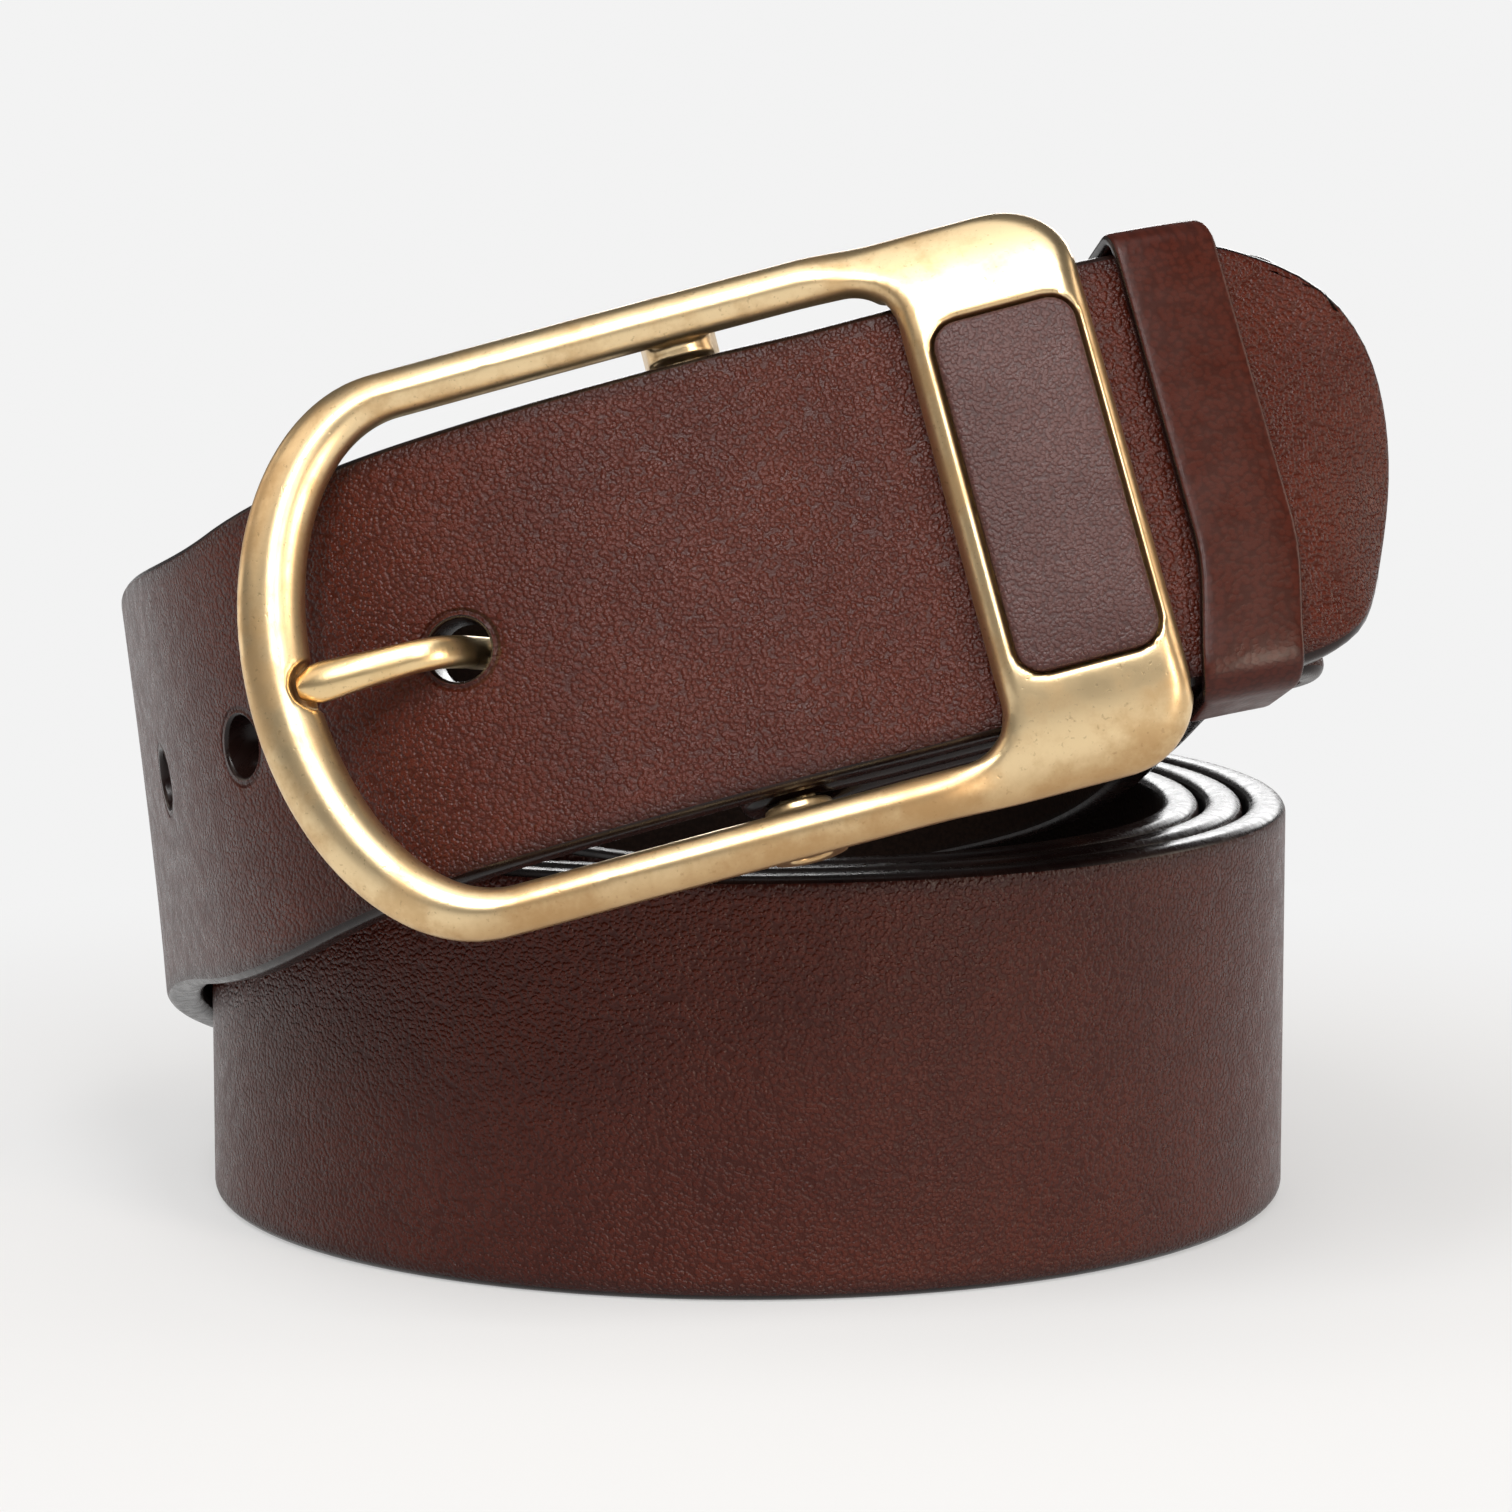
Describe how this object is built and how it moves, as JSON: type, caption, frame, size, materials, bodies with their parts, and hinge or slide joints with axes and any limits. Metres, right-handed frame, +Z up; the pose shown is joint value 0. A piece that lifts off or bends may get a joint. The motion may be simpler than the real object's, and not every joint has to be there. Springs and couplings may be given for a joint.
{
  "type": "leather belt",
  "caption": "Leather belt, rolled into a coil and fastened: strap with punched holes, centre-bar buckle with inlaid plate, prong and floating keeper loop.",
  "frame": {"origin": "centre of the bounding box's bottom face, on the surface the coil stands on", "axes": "+Z up, +X to the right as seen from the buckle's side, -Y out of the buckle's face, +Y to the back"},
  "size_m": [0.1152, 0.1318, 0.096],
  "materials": {
    "strap_leather": "dark chestnut full-grain leather, fine pebble, satin",
    "keeper_leather": "dark chestnut leather, smooth, satin",
    "inlay_leather": "dark plum-brown grained leather, satin",
    "antique_brass": "pale satin antique brass",
    "bar_brass": "satin brass, slightly darker",
    "prong_brass": "pale satin brass",
    "screw_brass": "satin brass"
  },
  "bodies": {
    "strap": {"strap": "strap_leather", "screw_post_1": "screw_brass", "screw_post_2": "screw_brass", "binding_screw_1": "screw_brass", "binding_screw_2": "screw_brass"},
    "buckle": {"buckle_frame": "antique_brass", "centre_bar": "bar_brass", "buckle_inlay": "inlay_leather"},
    "prong": {"prong": "prong_brass"},
    "keeper": {"keeper_loop": "keeper_leather"}
  },
  "joints": [
    {"name": "buckle_hinge", "type": "hinge", "parent": "strap", "child": "buckle", "pos_m": [0.00175, -0.04891, 0.06388], "axis": [-0.2466, 0.3284, 0.9118], "range_deg": [-1.5, 1.2]},
    {"name": "prong_hinge", "type": "hinge", "parent": "buckle", "child": "prong", "pos_m": [0.00175, -0.04891, 0.06388], "axis": [-0.2466, 0.3284, 0.9118], "range_deg": [0, 1.2]},
    {"name": "keeper_slide", "type": "hinge", "parent": "strap", "child": "keeper", "pos_m": [0.03094, -0.01801, 0.06065], "axis": [-0.2466, 0.3284, 0.9118], "range_deg": [-0.7, 4]}
  ]
}
